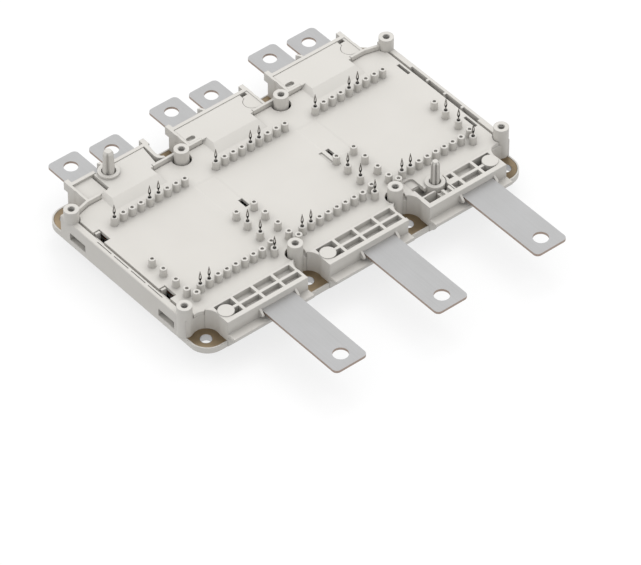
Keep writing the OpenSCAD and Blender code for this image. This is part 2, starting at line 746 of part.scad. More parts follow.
// Lid with the pin sleeves, the covers and the two guide rings
module lid() {
    color(PLASTIC)
    difference() {
        union() {
            difference() {
                union() {
                    block([-lid_x, lid_x], [0.2 - wall_y, rib_y - lid_gap], [seat_z, lid_z]);
                    block([neck_x, ac_guide[0]], [ac_guide[1], 0.3 - wall_y], [seat_z, lid_z]);
                    for (p = [0:2]) at_phase(p) lid_cover(p);
                }
                for (x = mount_xs, s = [-1, 1])
                    translate([x, s * mount_y, seat_z - eps]) cylinder(r = scallop_r + 0.2, h = lid_t + 2 * eps);
                for (x = post_xs, y = [post_front_y, post_back_y])
                    translate([x, y, seat_z - eps])
                        cylinder(d = post_d + 2 * (abs(x) < phase_pitch ? post_gap : lid_gap), h = lid_t + 2 * eps);
                lid_cuts();
            }
            for (p = [0:2], at = sleeves)
                at_phase(p) translate([at[0], at[1], lid_z - eps]) cylinder(d = sleeve_d, h = sleeve_h + eps);
            translate([dc_guide[0], dc_guide[1], seat_z]) cylinder(r = dc_ring_r, h = dc_ring_z - seat_z);
            translate([ac_guide[0], ac_guide[1], seat_z]) cylinder(r = ac_ring_r, h = lid_z + ring_h - seat_z);
        }
        for (p = [0:2], at = sleeves)
            at_phase(p) translate([at[0], at[1], seat_z - eps])
                cylinder(d = sleeve_hole_d, h = lid_t + sleeve_h + 2 * eps);
        translate([dc_guide[0], dc_guide[1], seat_z - eps]) cylinder(r = dc_ring_bore_r, h = dc_ring_z);
        translate([ac_guide[0], ac_guide[1], seat_z - eps]) cylinder(r = ac_ring_bore_r, h = cover_z);
    }
}

// Latch slots, shallow valleys between the phases and the edge along the outer ribs
module lid_cuts() {
    z = seat_z - eps;
    h = lid_t + 2 * eps;
    valley_w = 8.4;
    step_x = [phase_pitch - block_l / 2 + notch_rim_t, neck_x + 0.2];
    step_y = ac_guide[1] + 7.4;
    valley_h = 0.15;
    slope = 1.2;
    for (y = latch_ys) {
        block([-lid_x - eps, latch_w - lid_x], [y, y + latch_l], [z, z + h]);
        block([lid_x - 2.1, lid_x - 0.8], [y, y + latch_l], [z, z + h]);
    }
    for (s = middle_slots)
        block([s[0], s[1]], [s[2], s[3]], [lid_z - s[4], lid_z + eps]);
    block([phase_pitch - block_l / 2 + notch_rim_t, neck_x],
        [-wall_y, notch_back_y + lid_gap], [z, z + h]);
    translate([0, 0, lid_z - 0.9]) linear_extrude(1) {
        rect([step_x[0], step_x[1] - 1.5], [-wall_y, step_y]);
        rect([step_x[0], step_x[1]], [-wall_y, step_y - 1.5]);
        translate([step_x[1] - 1.5, step_y - 1.5]) circle(1.5);
    }
    for (x = [mount_xs[1] - 1, mount_xs[2]]) intersection() {
        along_x(x - valley_w, x + valley_w) polygon([
            [-3 - slope, lid_z + eps], [-3, lid_z - valley_h], [17, lid_z - valley_h], [17 + slope, lid_z + eps]
        ]);
        translate([x, 20, 0]) rotate([90, 0, 0]) linear_extrude(26) polygon([
            [-valley_w / 2 - slope, lid_z + eps], [-valley_w / 2, lid_z - valley_h],
            [valley_w / 2, lid_z - valley_h], [valley_w / 2 + slope, lid_z + eps]
        ]);
    }
    for (s = [0, 1]) mirror([s, 0, 0]) translate([0, 0, z]) linear_extrude(h) polygon([
        [phase_pitch + block_l / 2, rib_y - lid_gap], [post_xs[3], post_back_y - rim_t / 2 - lid_gap],
        [post_xs[3], mount_y], [phase_pitch + block_l / 2, mount_y]
    ]);
}

// Self-tapping screws with a six-lobed drive, seen from below
module frame_screws() {
    color(NICKEL)
    for (at = screws) translate([at[0], at[1], 0])
        difference() {
            union() {
                translate([0, 0, counterbore_h - screw_head_h]) cylinder(d = screw_head_d, h = screw_head_h);
                translate([0, 0, counterbore_h - eps]) cylinder(d = screw_d, h = screw_l + eps);
            }
            translate([0, 0, counterbore_h - screw_head_h - eps]) linear_extrude(1.1) {
                circle(d = 2.6);
                for (a = [0:60:300]) rotate(a) translate([1.35, 0]) circle(d = 0.8);
            }
        }
}

// Copper below the ceramic
module backing_copper(p) {
    color(COPPER)
    at_phase(p)
    block([copper_in - ceramic_w / 2, ceramic_w / 2 - copper_in],
        [ceramic_front + copper_in, ceramic_back - copper_in], [plate_t, ceramic_z]);
}

// Ceramic plate that insulates the circuit from the baseplate
module ceramic(p) {
    color(CERAMIC)
    at_phase(p)
    block([-ceramic_w / 2, ceramic_w / 2], [ceramic_front, ceramic_back], [ceramic_z, circuit_z]);
}

// A rectangle from its limits
module rect(x, y) {
    translate([x[0], y[0]]) square([x[1] - x[0], y[1] - y[0]]);
}

// Circuit copper with its power pads and the islands of the pins
module circuit_copper(p) {
    edge = ceramic_w / 2 - copper_in;
    front = ceramic_front + copper_in;
    back = ceramic_back - copper_in;
    island = 1.25;
    color(COPPER)
    at_phase(p) translate([0, 0, circuit_z]) linear_extrude(circuit_t) {
        difference() {
            union() {
                rect([-edge, 5.4], [2, back]);
                rect([6.2, edge], [2, back]);
                rect([-edge, edge], [-1.4, 1.2]);
                rect([6.2, edge], [-1.4, 3]);
                rect([-edge, edge], [front, -2.2]);
            }
            for (at = pins) translate(at) square(2 * island + 1, center = true);
        }
        for (at = pins) translate(at) square(2 * island, center = true);
    }
}

module chips(xs, y, l) {
    for (x = xs) block([x - chip_w / 2, x + chip_w / 2], [y - l / 2, y + l / 2], [pad_z, chip_z]);
}

// Transistor chips of one phase
module igbt_chips(p) {
    color(SILICON) at_phase(p) {
        chips(high_xs, high_igbt_y, igbt_l);
        chips(low_xs, low_igbt_y, igbt_l);
    }
}

// Diode chips of one phase
module diode_chips(p) {
    color(SILICON) at_phase(p) {
        chips(high_xs, high_diode_y, diode_l);
        chips(low_xs, low_diode_y, diode_l);
    }
}

// Temperature sensor on a pad beside the phase terminal's foot
module thermistor(p) {
    color("dimgray")
    at_phase(p) block([sensor_x, sensor_x + sensor_l], [sensor_y, sensor_y + sensor_w], [pad_z, pad_z + sensor_h]);
}

// Bond wire from one level to another, with flat feet
module bond_wire(x, y0, z0, y1, z1) {
    foot = 0.9;
    t = 0.25;
    span = y1 - y0;
    rise = span * 0.35;
    steps = 8;
    function lift(k) = sin(180 * k / steps);
    top = [for (k = [0:steps]) [y0 + span * k / steps, z0 + t + (z1 - z0) * k / steps + rise * lift(k)]];
    bottom = [for (k = [steps:-1:0]) [
        y0 + span * k / steps, z0 + (z1 - z0) * k / steps + rise * lift(k) * (1 - 2 * t / rise)
    ]];
    along_x(x - wire_d / 2, x + wire_d / 2) polygon(concat(
        [[y0 - foot, z0], [y0 - foot, z0 + t]], top, [[y1 + foot, z1 + t], [y1 + foot, z1]], bottom
    ));
}

// Bond wires between the chips and their pads
module bond_wires(p) {
    color(ALUMINIUM) at_phase(p) {
        for (x = high_xs, k = [-1:1]) {
            bond_wire(x + 2.2 * k, -3.4, pad_z, high_diode_y - 1.6, chip_z);
            bond_wire(x + 2.2 * k, high_diode_y + 1.2, chip_z, high_igbt_y, chip_z);
        }
        for (x = low_xs, k = [-1:1]) {
            bond_wire(x + 2.2 * k, low_diode_y, chip_z, low_igbt_y - 1.2, chip_z);
            bond_wire(x + 2.2 * k + 0.8, low_igbt_y + 1.4, chip_z, -0.1, pad_z);
        }
    }
}

// Sockets that hold the signal pins on their islands
module pin_sockets(p) {
    color(TINNED)
    at_phase(p) for (at = pins) translate([at[0], at[1], pad_z]) difference() {
        cylinder(d = socket_d, h = socket_h);
        translate([0, 0, 0.5]) cylinder(d = pin_d, h = socket_h);
    }
}

// Press-fit pins with an eye at the top, standing in their sockets
module signal_pins(p) {
    shoulder_z = lid_z + sleeve_h + 0.2;
    eye_z = shoulder_z + 1.6;
    tip_z = pin_z - 0.9;
    color(TINNED)
    at_phase(p) for (at = pins) translate([at[0], at[1], 0]) {
        translate([0, 0, pad_z + 0.5]) cylinder(d = pin_d, h = shoulder_z - pad_z - 0.5 + 0.3);
        translate([0, pin_t / 2, 0]) rotate([90, 0, 0]) linear_extrude(pin_t) difference() {
            polygon([
                [-0.75, shoulder_z], [0.75, shoulder_z], [0.75, shoulder_z + 0.6],
                [0.4, shoulder_z + 1], [0.4, eye_z - 0.3], [0.6, eye_z + 0.5], [0.6, eye_z + 1.6],
                [0.3, tip_z - 0.3], [0.25, tip_z + 0.4], [0.12, pin_z],
                [-0.12, pin_z], [-0.25, tip_z + 0.4], [-0.3, tip_z - 0.3],
                [-0.6, eye_z + 1.6], [-0.6, eye_z + 0.5], [-0.4, eye_z - 0.3],
                [-0.4, shoulder_z + 1], [-0.75, shoulder_z + 0.6]
            ]);
            polygon([
                [0, eye_z], [0.25, eye_z + 0.6], [0.25, eye_z + 1.5], [0, eye_z + 2.1],
                [-0.25, eye_z + 1.5], [-0.25, eye_z + 0.6]
            ]);
        }
    }
}

// Flat terminal with rounded outer corners and a hole near its end
module tab(x, y0, y1, hole_d, hole_in, t, dir) {
    r = 2;
    mid = (x[0] + x[1]) / 2;
    linear_extrude(t) difference() {
        union() {
            rect([x[0], x[1]], [min(y0, y1 - dir * r), max(y0, y1 - dir * r)]);
            rect([x[0] + r, x[1] - r], [min(y1 - dir * r - dir * eps, y1), max(y1 - dir * r - dir * eps, y1)]);
            for (cx = [x[0] + r, x[1] - r]) translate([cx, y1 - dir * r]) circle(r);
        }
        translate([mid, y1 - dir * hole_in]) circle(d = hole_d);
    }
}

// Phase terminal from its foot on the circuit copper to its outer end
module phase_terminal_bar() {
    leg_y = ac_foot_y + ac_t;
    x0 = ac_x - ac_w / 2;
    translate([0, 0, ac_z - ac_t])
        tab([x0, x0 + ac_w], ac_foot_y, -ac_reach, ac_hole_d, ac_hole_in, ac_t, -1);
    along_x(x0 + 2, x0 + ac_w - 2) polygon([
        [ac_foot_y - eps, ac_z - ac_t], [ac_foot_y, pad_z], [ac_foot_y + ac_foot_l, pad_z],
        [ac_foot_y + ac_foot_l, pad_z + ac_t], [leg_y, pad_z + ac_t], [leg_y, ac_z], [ac_foot_y - eps, ac_z]
    ]);
}
module phase_terminal(p) {
    color(TINNED) at_phase(p) phase_terminal_bar();
}

// Positive terminal, the upper of the pair
module plus_terminal_bar() {
    leg_y = dc_foot_y - dc_t;
    translate([0, 0, plus_z - dc_t]) {
        tab(plus_tab, bus_back_y - 1, dc_reach, dc_hole_d, dc_hole_in, dc_t, 1);
        linear_extrude(dc_t) rect([-bus_x, bus_overlap], [bus_front_y, bus_back_y]);
    }
    along_x(-bus_x, -bus_x + 8) polygon([
        [bus_front_y + eps, plus_z], [leg_y, plus_z], [leg_y, pad_z + dc_t], [leg_y - dc_foot_l + dc_t, pad_z + dc_t],
        [leg_y - dc_foot_l + dc_t, pad_z], [dc_foot_y, pad_z], [dc_foot_y, plus_z - dc_t], [bus_front_y + eps, plus_z - dc_t]
    ]);
}
module plus_terminal(p) {
    color(TINNED) at_phase(p) plus_terminal_bar();
}

// Negative terminal, the lower of the pair
module minus_terminal_bar() {
    leg_y = dc_foot_y - dc_t;
    translate([0, 0, minus_z - dc_t]) {
        tab(minus_tab, bus_back_y - 1, dc_reach, dc_hole_d, dc_hole_in, dc_t, 1);
        linear_extrude(dc_t) rect([-bus_overlap, bus_x], [bus_front_y, bus_back_y]);
    }
    along_x(bus_x - 5.6, bus_x) polygon([
        [bus_front_y + eps, minus_z], [dc_foot_y, minus_z], [leg_y, pad_z + dc_t],
        [leg_y - dc_foot_l + dc_t, pad_z + dc_t], [leg_y - dc_foot_l + dc_t, pad_z], [leg_y, pad_z],
        [dc_foot_y, minus_z - dc_t], [bus_front_y + eps, minus_z - dc_t]
    ]);
}
module minus_terminal(p) {
    color(TINNED) at_phase(p) minus_terminal_bar();
}

// Insulator between the two direct-current terminals
module insulator_bar() {
    block([-bus_overlap, bus_overlap], [bus_front_y, bus_back_y], [minus_z, minus_z + insulator_t]);
}
module terminal_insulator(p) {
    color("ivory") at_phase(p) insulator_bar();
}

baseplate();
frame();
lid();
frame_screws();
cooling_ribbons(0);  // cooling_ribbons_u
cooling_ribbons(1);  // cooling_ribbons_v
cooling_ribbons(2);  // cooling_ribbons_w
backing_copper(0);  // backing_copper_u
backing_copper(1);  // backing_copper_v
backing_copper(2);  // backing_copper_w
ceramic(0);  // ceramic_u
ceramic(1);  // ceramic_v
ceramic(2);  // ceramic_w
circuit_copper(0);  // circuit_copper_u
circuit_copper(1);  // circuit_copper_v
circuit_copper(2);  // circuit_copper_w
igbt_chips(0);  // igbt_chips_u
igbt_chips(1);  // igbt_chips_v
igbt_chips(2);  // igbt_chips_w
diode_chips(0);  // diode_chips_u
diode_chips(1);  // diode_chips_v
diode_chips(2);  // diode_chips_w
bond_wires(0);  // bond_wires_u
bond_wires(1);  // bond_wires_v
bond_wires(2);  // bond_wires_w
thermistor(0);  // thermistor_u
thermistor(1);  // thermistor_v
thermistor(2);  // thermistor_w
pin_sockets(0);  // pin_sockets_u
pin_sockets(1);  // pin_sockets_v
pin_sockets(2);  // pin_sockets_w
signal_pins(0);  // signal_pins_u
signal_pins(1);  // signal_pins_v
signal_pins(2);  // signal_pins_w
phase_terminal(0);  // phase_terminal_u
phase_terminal(1);  // phase_terminal_v
phase_terminal(2);  // phase_terminal_w
plus_terminal(0);  // plus_terminal_u
plus_terminal(1);  // plus_terminal_v
plus_terminal(2);  // plus_terminal_w
minus_terminal(0);  // minus_terminal_u
minus_terminal(1);  // minus_terminal_v
minus_terminal(2);  // minus_terminal_w
terminal_insulator(0);  // terminal_insulator_u
terminal_insulator(1);  // terminal_insulator_v
terminal_insulator(2);  // terminal_insulator_w
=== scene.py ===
# %% [markdown]
# A power module for an electric drive: a nickel-plated plate, a pale plastic frame with a lid, rows of
# signal pins and flat terminals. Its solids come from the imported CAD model, which stays where it is. This
# lesson gives them their camera, light, finishes and the fine forms that a plain solid lacks.

import math

import bpy
import numpy as np
from mathutils import Matrix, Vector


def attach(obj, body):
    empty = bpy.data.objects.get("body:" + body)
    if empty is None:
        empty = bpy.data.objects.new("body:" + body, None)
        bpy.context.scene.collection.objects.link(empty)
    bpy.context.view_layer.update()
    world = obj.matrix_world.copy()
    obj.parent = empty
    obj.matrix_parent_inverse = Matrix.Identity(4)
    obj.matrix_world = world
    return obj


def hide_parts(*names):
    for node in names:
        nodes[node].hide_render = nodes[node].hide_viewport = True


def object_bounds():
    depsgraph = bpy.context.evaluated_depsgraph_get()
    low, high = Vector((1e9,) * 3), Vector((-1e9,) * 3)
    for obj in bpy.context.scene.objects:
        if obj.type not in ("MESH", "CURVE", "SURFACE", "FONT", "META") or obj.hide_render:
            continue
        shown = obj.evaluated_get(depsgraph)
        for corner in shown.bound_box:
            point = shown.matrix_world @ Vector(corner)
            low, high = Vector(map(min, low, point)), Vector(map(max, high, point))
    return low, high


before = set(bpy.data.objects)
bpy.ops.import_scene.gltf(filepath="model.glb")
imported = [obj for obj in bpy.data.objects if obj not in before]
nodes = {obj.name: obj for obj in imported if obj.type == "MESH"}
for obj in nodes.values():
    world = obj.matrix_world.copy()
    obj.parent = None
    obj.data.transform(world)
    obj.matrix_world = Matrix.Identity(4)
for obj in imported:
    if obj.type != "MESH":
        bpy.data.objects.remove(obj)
cad_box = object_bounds()
PHASES = ("u", "v", "w")
MM = 0.001
print("nodes:", len(nodes), "box in mm:", [round(v / MM, 1) for corner in cad_box for v in corner])

# %% [markdown]
# The photograph was taken from far away with a long lens, from the front left and well above. A camera can
# be placed by hand until the picture fits, but here its direction, distance and focal length were solved
# from the evenly spaced holes and posts, so they are given as numbers. The matrix is built from the three
# directions right, down and forward, because a camera in Blender looks along its own minus Z.

# %% Camera
FRAME_WIDTH_PX = 641
FOCAL_PX = 5471.83
SENSOR_MM = 36
AZIMUTH = math.radians(-39.65)
ELEVATION = math.radians(43.49)
OFFSET_MM = np.array([-12.35, -30.37, 2001.95])

back = np.array([
    math.sin(AZIMUTH) * math.cos(ELEVATION),
    -math.cos(AZIMUTH) * math.cos(ELEVATION),
    math.sin(ELEVATION)
])
right = np.cross(-back, [0, 0, 1])
right /= np.linalg.norm(right)
down = np.cross(-back, right)
place = -np.array([right, down, -back]).T @ OFFSET_MM * MM

camera = bpy.data.objects.new("camera", bpy.data.cameras.new("camera"))
bpy.context.scene.collection.objects.link(camera)
camera.data.sensor_width = SENSOR_MM
camera.data.lens = FOCAL_PX / FRAME_WIDTH_PX * SENSOR_MM
camera.data.clip_start = 0.1
camera.data.clip_end = 20
turn = np.column_stack([right, -down, back, place])
camera.matrix_world = Matrix([*turn.tolist(), [0, 0, 0, 1]])
bpy.context.scene.camera = camera
print("lens in mm:", round(camera.data.lens, 1), "distance in m:", round(float(np.linalg.norm(place)), 3))

# %% [markdown]
# A studio shot of a pale object on white needs light from everywhere, and a little more of it from one
# side, so that edges still show. Here the sky itself is uneven: its strength grows along one direction,
# which points up, to the back and a little to the right. Faces at the front and on the left then lie in a
# soft shade, as in the photograph. A far lamp adds faint shadows, and mirror rays don't see it, so that no
# terminal shows a glare. The background is white because camera rays and mirror rays see a white world,
# not because more light falls on the object.

# %% World and lamps
def node_of(tree, kind, place=(0, 0), **values):
    """One shader node with its properties and input values set by name."""
    made = tree.nodes.new(kind)
    made.location = place
    for name, value in values.items():
        if hasattr(made, name):
            setattr(made, name, value)
        else:
            made.inputs[name.replace("_", " ")].default_value = value
    return made


SKY_LIGHT = 0.91
SKY_TILT = (0.16, 0.30, 0.40)
world = bpy.data.worlds.new("studio")
world.use_nodes = True
bpy.context.scene.world = world
tree = world.node_tree
tree.nodes.clear()
rays = node_of(tree, "ShaderNodeLightPath", (-600, 200))
seen = node_of(tree, "ShaderNodeMath", (-400, 260), operation="MAXIMUM")
seen_too = node_of(tree, "ShaderNodeMath", (-250, 260), operation="MAXIMUM")
toward = node_of(tree, "ShaderNodeTexCoord", (-900, -80))
along = node_of(tree, "ShaderNodeVectorMath", (-700, -80), operation="DOT_PRODUCT")
along.inputs[1].default_value = SKY_TILT
level = node_of(tree, "ShaderNodeMath", (-500, -80), operation="ADD")
level.inputs[1].default_value = SKY_LIGHT
sky = node_of(tree, "ShaderNodeBackground", (-250, -80))
sky.inputs["Color"].default_value = (1, 1, 1, 1)
white = node_of(tree, "ShaderNodeBackground", (-250, -200))
white.inputs["Color"].default_value = (1, 1, 1, 1)
white.inputs["Strength"].default_value = 1.0
choose = node_of(tree, "ShaderNodeMixShader", (0, 0))
out = node_of(tree, "ShaderNodeOutputWorld", (200, 0))
tree.links.new(rays.outputs["Is Camera Ray"], seen.inputs[0])
tree.links.new(rays.outputs["Is Glossy Ray"], seen.inputs[1])
tree.links.new(seen.outputs[0], seen_too.inputs[0])
tree.links.new(rays.outputs["Is Transmission Ray"], seen_too.inputs[1])
tree.links.new(toward.outputs["Generated"], along.inputs[0])
tree.links.new(along.outputs["Value"], level.inputs[0])
tree.links.new(level.outputs[0], sky.inputs["Strength"])
tree.links.new(seen_too.outputs[0], choose.inputs[0])
tree.links.new(sky.outputs[0], choose.inputs[1])
tree.links.new(white.outputs[0], choose.inputs[2])
tree.links.new(choose.outputs[0], out.inputs["Surface"])


def area_lamp(name, place, aim, size, power):
    """A square area lamp at place that looks at aim."""
    lamp = bpy.data.objects.new(name, bpy.data.lights.new(name, "AREA"))
    lamp.data.size = size
    lamp.data.energy = power
    bpy.context.scene.collection.objects.link(lamp)
    away = np.array(place, float) - np.array(aim, float)
    away /= np.linalg.norm(away)
    side = np.cross([0, 0, 1], away)
    side /= np.linalg.norm(side)
    turn = np.column_stack([side, np.cross(away, side), away, place])
    lamp.matrix_world = Matrix([*turn.tolist(), [0, 0, 0, 1]])
    return lamp


key = area_lamp("key_lamp", (1.6, 0.9, 3.0), (0, 0, 0), 1.6, 22.0)
key.visible_glossy = False

# %% [markdown]
# The module stands on its two lower guide pins on a white floor. The floor is a plain sheet. The camera
# sees mostly its own glow and a little of its lit surface, so it is white and still takes the soft shadow.
# Soft light that goes to the module's underside finds the glow too, as under a real light table. From
# below the sheet is clear, so that the ribbons can be looked at.

# %% Floor
FLOOR_Z = cad_box[0].z
FLOOR_HALF = 4.0
GLOW_SHARE = 0.72
GLOW_UNDERNEATH = 0.6
floor_mesh = bpy.data.meshes.new("floor")
floor_corners = [(x * FLOOR_HALF, y * FLOOR_HALF, FLOOR_Z) for x, y in ((-1, -1), (1, -1), (1, 1), (-1, 1))]
floor_mesh.from_pydata(floor_corners, [], [(0, 1, 2, 3)])
floor = bpy.data.objects.new("floor", floor_mesh)
bpy.context.scene.collection.objects.link(floor)
paper = bpy.data.materials.new("white_paper")
paper.use_nodes = True
tree = paper.node_tree
tree.nodes.clear()
rays = node_of(tree, "ShaderNodeLightPath", (-900, 200))
side = node_of(tree, "ShaderNodeNewGeometry", (-900, -200))
lit = node_of(tree, "ShaderNodeBsdfDiffuse", (-600, 100))
lit.inputs["Color"].default_value = (0.85, 0.85, 0.85, 1)
glow = node_of(tree, "ShaderNodeEmission", (-600, -50))
glow.inputs["Color"].default_value = (1, 1, 1, 1)
glow.inputs["Strength"].default_value = 1.0
soft_glow = node_of(tree, "ShaderNodeEmission", (-600, -150))
soft_glow.inputs["Color"].default_value = (1, 1, 1, 1)
soft_glow.inputs["Strength"].default_value = GLOW_UNDERNEATH
clear = node_of(tree, "ShaderNodeBsdfTransparent", (-600, -300))
shadow_mix = node_of(tree, "ShaderNodeMixShader", (-350, 50))
shadow_mix.inputs[0].default_value = GLOW_SHARE
mirror_mix = node_of(tree, "ShaderNodeMixShader", (-150, 0))
soft_mix = node_of(tree, "ShaderNodeMixShader", (50, 0))
under_mix = node_of(tree, "ShaderNodeMixShader", (250, 0))
out = node_of(tree, "ShaderNodeOutputMaterial", (450, 0))
tree.links.new(lit.outputs[0], shadow_mix.inputs[1])
tree.links.new(glow.outputs[0], shadow_mix.inputs[2])
tree.links.new(rays.outputs["Is Glossy Ray"], mirror_mix.inputs[0])
tree.links.new(shadow_mix.outputs[0], mirror_mix.inputs[1])
tree.links.new(glow.outputs[0], mirror_mix.inputs[2])
tree.links.new(rays.outputs["Is Diffuse Ray"], soft_mix.inputs[0])
tree.links.new(mirror_mix.outputs[0], soft_mix.inputs[1])
tree.links.new(soft_glow.outputs[0], soft_mix.inputs[2])
tree.links.new(side.outputs["Backfacing"], under_mix.inputs[0])
tree.links.new(soft_mix.outputs[0], under_mix.inputs[1])
tree.links.new(clear.outputs[0], under_mix.inputs[2])
tree.links.new(under_mix.outputs[0], out.inputs["Surface"])
floor_mesh.materials.append(paper)
bpy.context.scene.view_settings.view_transform = "Standard"
print("floor at mm:", round(FLOOR_Z / MM, 2))

# %% [markdown]
# Several finishes share the same effects, so each effect is a shader node group that is built once. A group
# takes numbers and gives a mask or a value, and the material decides what to do with it. All of them read
# Object coordinates, in metres, so a pattern keeps its real size on every piece.

# %% Group: fine grain of a surface
def new_group(name, inputs, outputs):
    """A shader node group with float inputs {name: default} and float outputs [name]."""
    group = bpy.data.node_groups.new(name, "ShaderNodeTree")
    for label, default in inputs.items():
        socket = group.interface.new_socket(label, in_out="INPUT", socket_type="NodeSocketFloat")
        socket.default_value = default
    for label in outputs:
        group.interface.new_socket(label, in_out="OUTPUT", socket_type="NodeSocketFloat")
    begin = node_of(group, "NodeGroupInput", (-900, 0))
    end = node_of(group, "NodeGroupOutput", (600, 0))
    return group, begin, end


def arithmetic(tree, operation, first, second=None, place=(0, 0), clamp=False):
    """One Math node; first and second are sockets or numbers."""
    made = node_of(tree, "ShaderNodeMath", place, operation=operation, use_clamp=clamp)
    for slot, value in zip(made.inputs, (first, second)):
        if isinstance(value, bpy.types.NodeSocket):
            tree.links.new(value, slot)
        elif value is not None:
            slot.default_value = value
    return made.outputs[0]


grain_inputs = {"Grain Size": 0.0004, "Cloud Size": 0.02}
grain, begin, end = new_group("surface_grain", grain_inputs, ["Grain", "Clouds"])
coords = node_of(grain, "ShaderNodeTexCoord", (-900, -300))
for label, size, detail, height in (("Grain", "Grain Size", 3, 150), ("Clouds", "Cloud Size", 2, -150)):
    scale = arithmetic(grain, "DIVIDE", 1.0, begin.outputs[size], (-600, height))
    noise = node_of(grain, "ShaderNodeTexNoise", (-350, height))
    noise.inputs["Detail"].default_value = detail
    grain.links.new(coords.outputs["Object"], noise.inputs["Vector"])
    grain.links.new(scale, noise.inputs["Scale"])
    grain.links.new(noise.outputs["Fac"], end.inputs[label])
print("group:", grain.name)

# %% [markdown]
# A stamped sheet shows its bare metal where the punch cut it: the plating of the terminals is grey, and
# their cut edges are copper. The mask for this comes from the way a face looks. Faces that look up or down
# are the rolled sides, and all others are cut. The same mask tells the plate's top from its underside.

# %% Group: faces by the way they look
facing, begin, end = new_group("facing", {"Sharpness": 8.0}, ["Up", "Down", "Sideways"])
geometry = node_of(facing, "ShaderNodeNewGeometry", (-900, -250))
to_object = node_of(facing, "ShaderNodeVectorTransform", (-700, -250), vector_type="NORMAL")
to_object.convert_from = "WORLD"
to_object.convert_to = "OBJECT"
split = node_of(facing, "ShaderNodeSeparateXYZ", (-500, -250))
facing.links.new(geometry.outputs["Normal"], to_object.inputs[0])
facing.links.new(to_object.outputs[0], split.inputs[0])
upward = arithmetic(facing, "MULTIPLY", split.outputs["Z"], begin.outputs["Sharpness"], (-300, 100))
half_way = arithmetic(facing, "MULTIPLY", begin.outputs["Sharpness"], 0.5, (-300, -50))
up_mask = arithmetic(facing, "SUBTRACT", upward, half_way, (-100, 100), True)
downward = arithmetic(facing, "MULTIPLY", upward, -1.0, (-300, -200))
down_mask = arithmetic(facing, "SUBTRACT", downward, half_way, (-100, -200), True)
flat_mask = arithmetic(facing, "ADD", up_mask, down_mask, (100, 0), True)
side_mask = arithmetic(facing, "SUBTRACT", 1.0, flat_mask, (300, 0), True)
facing.links.new(up_mask, end.inputs["Up"])
facing.links.new(down_mask, end.inputs["Down"])
facing.links.new(side_mask, end.inputs["Sideways"])
print("group:", facing.name)

# %% [markdown]
# Rolled and brushed metal has fine lines along one direction. A noise that is squeezed across the lines
# and stretched along them gives such lines, without any picture.

# %% Group: drawn lines
lines, begin, end = new_group("drawn_lines", {"Across": 0.0002, "Along": 0.02}, ["Lines"])
coords = node_of(lines, "ShaderNodeTexCoord", (-900, -300))
split = node_of(lines, "ShaderNodeSeparateXYZ", (-700, -300))
join = node_of(lines, "ShaderNodeCombineXYZ", (-300, -100))
lines.links.new(coords.outputs["Object"], split.inputs[0])
for axis, width, height in (("X", "Across", 100), ("Y", "Along", -100), ("Z", "Across", -300)):
    squeezed = arithmetic(lines, "DIVIDE", split.outputs[axis], begin.outputs[width], (-500, height))
    lines.links.new(squeezed, join.inputs[axis])
noise = node_of(lines, "ShaderNodeTexNoise", (0, 0))
noise.inputs["Scale"].default_value = 1.0
noise.inputs["Detail"].default_value = 2
lines.links.new(join.outputs[0], noise.inputs["Vector"])
lines.links.new(noise.outputs["Fac"], end.inputs["Lines"])
print("group:", lines.name)

# %% [markdown]
# A small bright pin between pale walls looks black wherever it bends, since it mirrors its own dark hole
# there. The pins are too small to show this by themselves, so a band between two heights marks such a place,
# and the pin's material paints this dark reflection there.

# %% Group: a band between two heights
band_inputs = {"Low": 0.0, "High": 0.001, "Softness": 0.0002}
band, begin, end = new_group("height_band", band_inputs, ["Mask"])
coords = node_of(band, "ShaderNodeTexCoord", (-900, -300))
split = node_of(band, "ShaderNodeSeparateXYZ", (-700, -300))
band.links.new(coords.outputs["Object"], split.inputs[0])
over_low = arithmetic(band, "SUBTRACT", split.outputs["Z"], begin.outputs["Low"], (-500, 100))
below_high = arithmetic(band, "SUBTRACT", begin.outputs["High"], split.outputs["Z"], (-500, -100))
above = arithmetic(band, "DIVIDE", over_low, begin.outputs["Softness"], (-300, 100), True)
under = arithmetic(band, "DIVIDE", below_high, begin.outputs["Softness"], (-300, -100), True)
band.links.new(arithmetic(band, "MULTIPLY", above, under, (-100, 0)), end.inputs["Mask"])
print("group:", band.name)

# %% [markdown]
# Pale plastic gets painted shade in pockets, holes and inner corners, where little light comes back out of
# them. An Ambient Occlusion node measures how closed in a point is, and the material uses this mask to darken
# its colour there. It is kept local, so that each piece only looks at itself, and its reach is a few
# millimetres.

# %% Group: closed-in places for painted shade
painted_shade_group, begin, end = new_group("painted_shade_mask", {"Reach": 0.004, "Strength": 1.0}, ["Mask"])
closed = node_of(painted_shade_group, "ShaderNodeAmbientOcclusion", (-600, 0), samples=8, only_local=True)
painted_shade_group.links.new(begin.outputs["Reach"], closed.inputs["Distance"])
hidden = arithmetic(painted_shade_group, "SUBTRACT", 1.0, closed.outputs["AO"], (-300, 0))
mask = arithmetic(painted_shade_group, "MULTIPLY", hidden, begin.outputs["Strength"], (-100, 0), True)
painted_shade_group.links.new(mask, end.inputs["Mask"])
print("group:", painted_shade_group.name)

# %% [markdown]
# A finish is one material per slot of the record. The helper starts a material with a Principled shader
# and plain values, and the steps after it hang the groups on Base Color, Roughness and Normal. A rounded
# edge is too small to see as a form at this distance, but it catches light as a thin line, so the plastic
# also gets a Bevel node, which bends the normal near an edge.

# %% Helpers for finishes
def finish_of(name, color, roughness, metallic=0.0):
    """A material with a Principled shader, and that shader."""
    made = bpy.data.materials.new(name)
    made.use_nodes = True
    shader = made.node_tree.nodes["Principled BSDF"]
    shader.inputs["Base Color"].default_value = (*color, 1)
    shader.inputs["Roughness"].default_value = roughness
    shader.inputs["Metallic"].default_value = metallic
    return made, shader


